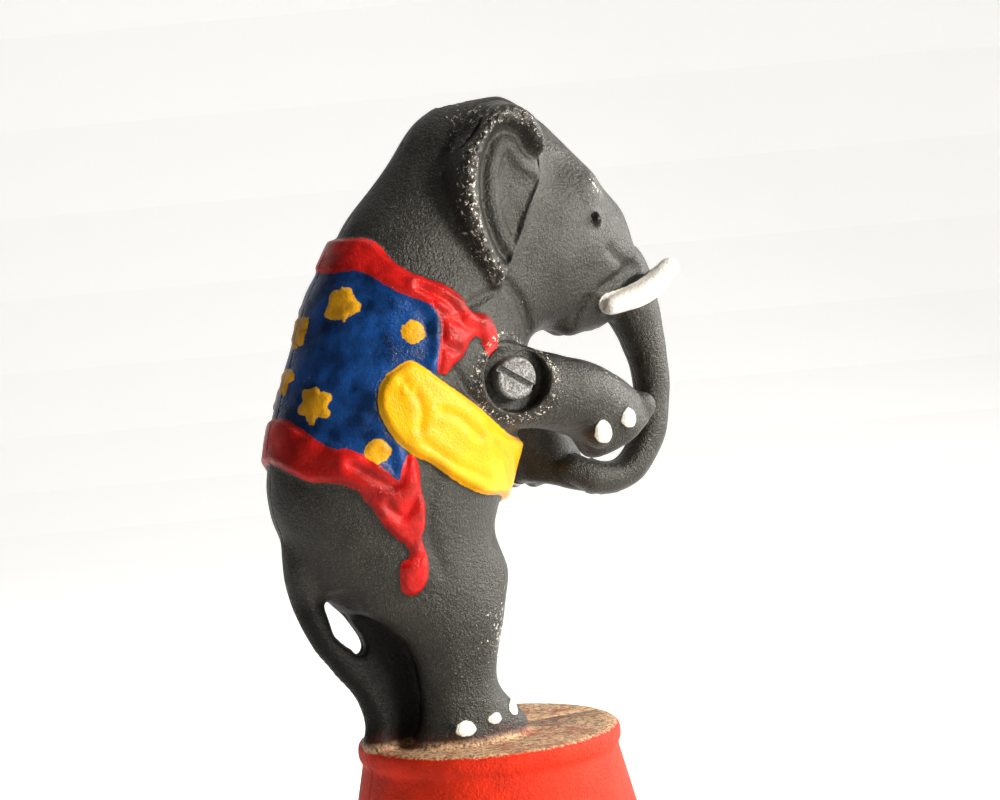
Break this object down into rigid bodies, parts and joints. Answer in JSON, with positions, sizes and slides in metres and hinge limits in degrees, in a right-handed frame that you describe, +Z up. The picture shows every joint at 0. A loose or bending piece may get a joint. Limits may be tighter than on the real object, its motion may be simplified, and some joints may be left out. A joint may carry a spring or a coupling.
{
  "type": "figural animal coin bank",
  "caption": "Cast-iron still bank: circus elephant on a tub, in two half castings held by a shoulder screw and nut, coin slot on top of the head.",
  "frame": {"origin": "middle of the flat underside of the tub, on the tub's axis and on the seam plane", "axes": "+Z up, +X the way the elephant faces, +Y the elephant's left; the two castings meet on Y = 0"},
  "size_m": [0.101, 0.075, 0.1855],
  "materials": {
    "painted_iron": "black enamel over sand-cast iron, with red, blue, yellow and white painted detail",
    "screw_steel": "darkened steel, worn",
    "nut_steel": "plain steel, dull"
  },
  "bodies": {
    "right_casting": {"right_half": "painted_iron"},
    "left_casting": {"left_half": "painted_iron", "clamp_nut": "nut_steel"},
    "screw": {"clamp_screw": "screw_steel"}
  },
  "joints": [
    {"name": "left_half_slide", "type": "slide", "parent": "right_casting", "child": "left_casting", "axis": [0, 1, 0], "range_m": [0, 0.00508]},
    {"name": "screw_turn", "type": "hinge", "parent": "right_casting", "child": "screw", "pos_m": [0.0052, -0.019, 0.1242], "axis": [0, -1, 0], "range_deg": [0, 1440]}
  ],
  "couplings": [
    {"joint": "screw_turn", "follows": "left_half_slide", "rad_per_m": 4947.4}
  ]
}
